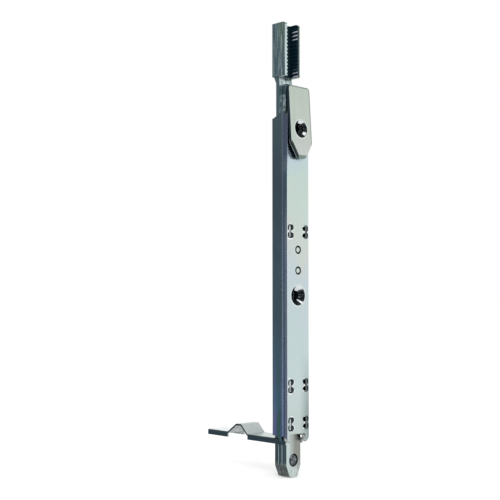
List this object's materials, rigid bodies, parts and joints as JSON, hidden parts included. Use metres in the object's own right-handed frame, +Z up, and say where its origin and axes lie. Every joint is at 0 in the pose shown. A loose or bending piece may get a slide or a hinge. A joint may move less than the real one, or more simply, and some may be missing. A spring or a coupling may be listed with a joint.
{
  "type": "shootbolt_lock",
  "caption": "Edge mounted shootbolt end for a multipoint door lock: a laminated bolt bar that a drive rail slides through a staked channel, with a humped end bracket",
  "frame": {"origin": "on the back face of the guide channel, in the middle of its width, 50 mm above the top of the end bracket", "axes": "+Z up along the bolt towards the drive rail, +Y from the faceplate into the door, +X across the faceplate to the right as seen from its front"},
  "size_m": [0.016, 0.0624, 0.2264],
  "materials": {
    "faceplate_zinc": "bright zinc plating, satin",
    "cover_zinc": "bright zinc plating, satin",
    "channel_zinc": "blue passivated zinc plating, glossy",
    "bracket_zinc": "blue passivated zinc plating, glossy",
    "connector_zinc": "blue passivated zinc plating, satin",
    "bolt_zinc": "zinc plating, satin",
    "block_steel": "plain steel",
    "rivet_steel": "plain steel, hammered ends"
  },
  "bodies": {
    "case": {"faceplate": "faceplate_zinc", "cover_plate": "cover_zinc", "guide_channel": "channel_zinc", "end_bracket": "bracket_zinc", "stop_block": "block_steel", "case_rivet_lower": "rivet_steel", "case_rivet_upper": "rivet_steel"},
    "bolt": {"bolt_plate_front": "bolt_zinc", "bolt_plate_middle": "bolt_zinc", "bolt_plate_rear": "bolt_zinc", "toothed_connector": "connector_zinc", "bolt_rivet_tip": "rivet_steel", "bolt_rivet_lower": "rivet_steel", "bolt_rivet_upper": "rivet_steel", "connector_rivet_lower": "rivet_steel", "connector_rivet_upper": "rivet_steel"}
  },
  "joints": [
    {"name": "bolt_slide", "type": "slide", "parent": "case", "child": "bolt", "axis": [0, 0, 1], "range_m": [0, 0.02]}
  ]
}
